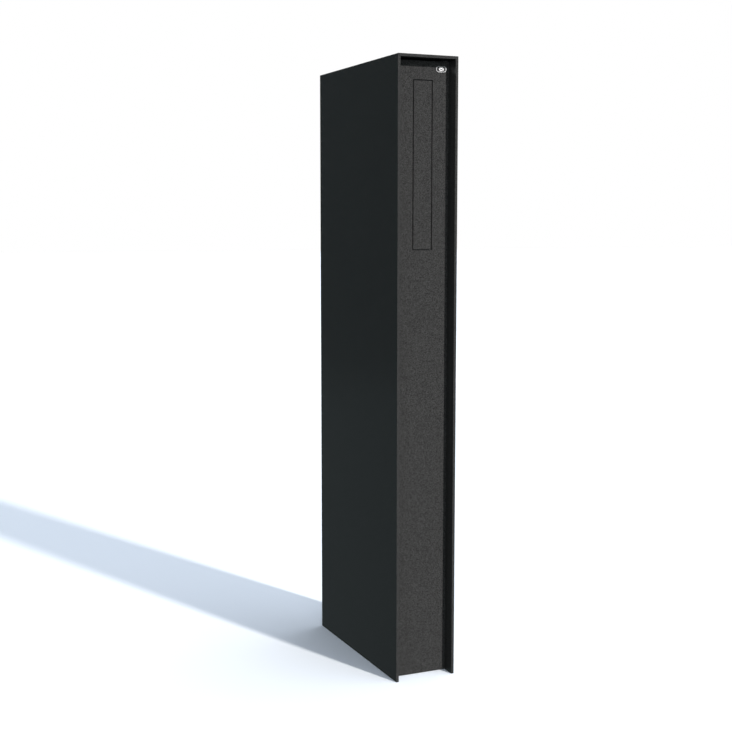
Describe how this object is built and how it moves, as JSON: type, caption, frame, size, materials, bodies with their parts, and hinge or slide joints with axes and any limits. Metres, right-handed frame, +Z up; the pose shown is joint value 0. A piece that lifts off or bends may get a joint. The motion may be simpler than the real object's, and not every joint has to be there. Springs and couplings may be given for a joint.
{
  "type": "parcel locker",
  "caption": "Slim freestanding letter and parcel locker: plate shell, recessed front with an upright sprung flap, shelf inside and a locking rear door.",
  "frame": {"origin": "on the ground, at the middle of the footprint", "axes": "+Z up; the front with the flap faces -Y; +X on the right of a person facing the flap"},
  "size_m": [0.13, 0.4, 1.24],
  "materials": {
    "shell_coat": "fine-textured powder coat, dark anthracite",
    "panel_coat": "fine-textured powder coat, dark anthracite",
    "inner_coat": "satin powder coat, dark grey",
    "galvanised_steel": "zinc-plated, dull",
    "stainless_steel": "satin stainless steel",
    "spring_steel": "oiled spring wire",
    "brass": "plain turned brass",
    "lock_chrome": "bright plated zinc casting",
    "seal_rubber": "matt black EPDM",
    "badge_metal": "satin anodised"
  },
  "bodies": {
    "housing": {"left_side_panel": "shell_coat", "right_side_panel": "shell_coat", "top_panel": "shell_coat", "base_plate": "galvanised_steel", "front_rail_left": "inner_coat", "front_rail_right": "inner_coat", "rear_rail_left": "inner_coat", "rear_rail_right": "inner_coat", "rear_rail_top": "inner_coat", "rear_sill": "inner_coat", "front_panel": "panel_coat", "front_panel_studs": "stainless_steel", "front_panel_nuts": "stainless_steel", "badge_plate": "badge_metal", "flap_seal": "seal_rubber", "flap_bracket_upper": "galvanised_steel", "flap_bracket_lower": "galvanised_steel", "flap_bracket_studs": "stainless_steel", "flap_bracket_nuts": "stainless_steel", "flap_hinge_pin": "stainless_steel", "flap_pin_clip": "spring_steel", "flap_washers": "brass", "flap_spring": "spring_steel", "mail_shelf": "galvanised_steel", "shelf_bracket_left": "inner_coat", "shelf_bracket_right": "inner_coat", "shelf_screws": "stainless_steel", "door_seal": "seal_rubber", "door_buffers": "seal_rubber", "door_hinge_base_lower": "shell_coat", "door_hinge_base_middle": "shell_coat", "door_hinge_base_upper": "shell_coat", "door_hinge_pin_lower": "stainless_steel", "door_hinge_pin_middle": "stainless_steel", "door_hinge_pin_upper": "stainless_steel", "door_hinge_washer_lower": "brass", "door_hinge_washer_middle": "brass", "door_hinge_washer_upper": "brass"},
    "flap": {"flap_plate": "panel_coat", "flap_carrier": "inner_coat"},
    "door": {"rear_door": "panel_coat", "door_hinge_leaf_lower": "shell_coat", "door_hinge_leaf_middle": "shell_coat", "door_hinge_leaf_upper": "shell_coat", "lock_body": "lock_chrome", "lock_nut": "galvanised_steel"},
    "lock": {"lock_plug": "lock_chrome", "lock_cam": "galvanised_steel", "lock_cam_screw": "stainless_steel"}
  },
  "joints": [
    {"name": "flap_swing", "type": "hinge", "parent": "housing", "child": "flap", "pos_m": [-0.024, -0.161, 1.0302], "axis": [0, 0, 1], "range_deg": [0, 75], "stiffness_Nm_per_rad": 0.03, "springref_deg": -17.19, "deforming": ["flap_spring"]},
    {"name": "door_swing", "type": "hinge", "parent": "housing", "child": "door", "pos_m": [0.0535, 0.192, 0.62], "axis": [0, 0, -1], "range_deg": [0, 110]},
    {"name": "lock_turn", "type": "hinge", "parent": "door", "child": "lock", "pos_m": [-0.03, 0.175, 0.66], "axis": [0, 1, 0], "range_deg": [0, 90]}
  ]
}
